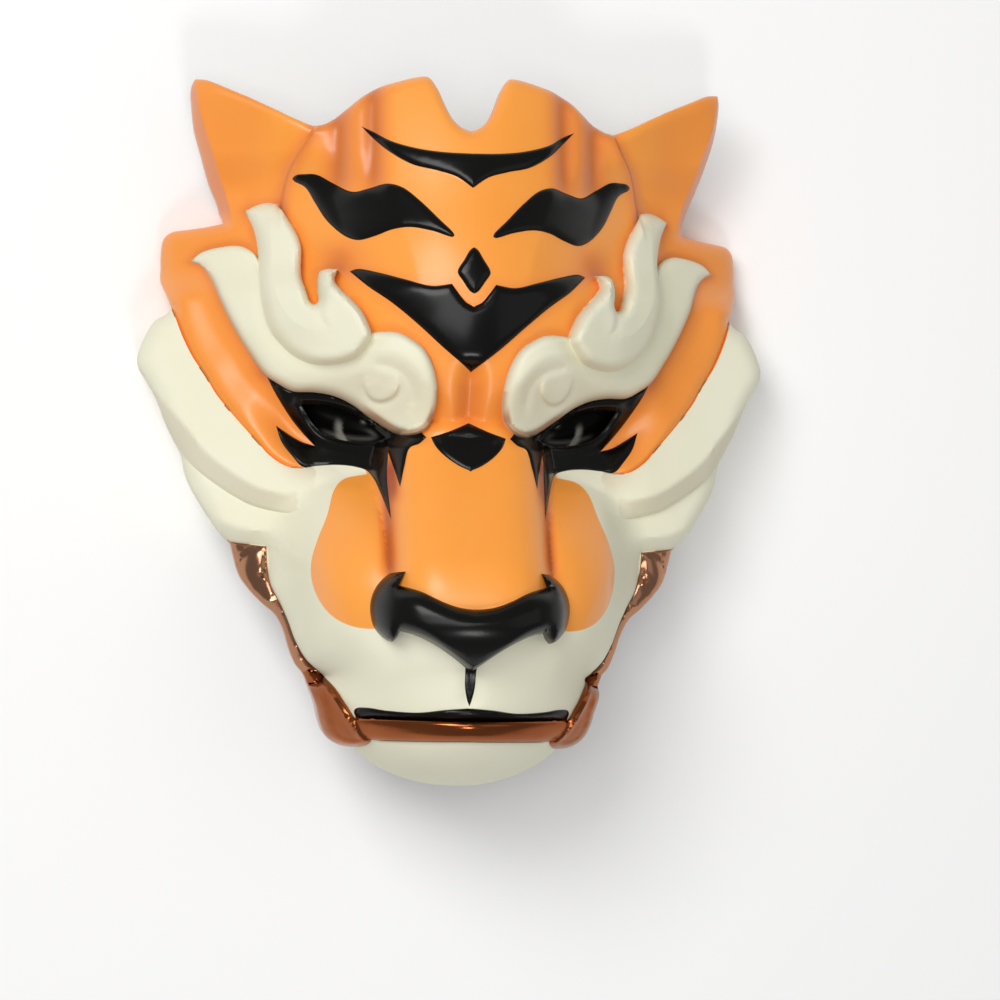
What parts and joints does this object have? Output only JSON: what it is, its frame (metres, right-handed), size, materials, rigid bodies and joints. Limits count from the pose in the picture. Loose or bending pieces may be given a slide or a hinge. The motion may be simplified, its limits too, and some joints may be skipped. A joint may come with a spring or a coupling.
{
  "type": "moulded tiger head mask",
  "caption": "Hollow moulded tiger face mask with pointed ears, scrolled eyebrows, cheek tufts, glossy black stripes and nose, a copper mouth bar and dark eye lenses.",
  "frame": {"origin": "centre of the mask's outline, in the plane of the flat back rim that it lies on", "axes": "+Z out of the face, +Y towards the ears and the notch, +X to the right of a viewer who faces the mask"},
  "size_m": [0.294, 0.323, 0.1635],
  "materials": {
    "painted_resin": "satin paint on cast resin: orange, cream, glossy black and metallic copper areas",
    "smoked_lens": "polished dark smoked plastic"
  },
  "bodies": {
    "root": {"mask_shell": "painted_resin", "lens_left": "smoked_lens", "lens_right": "smoked_lens"}
  },
  "joints": []
}
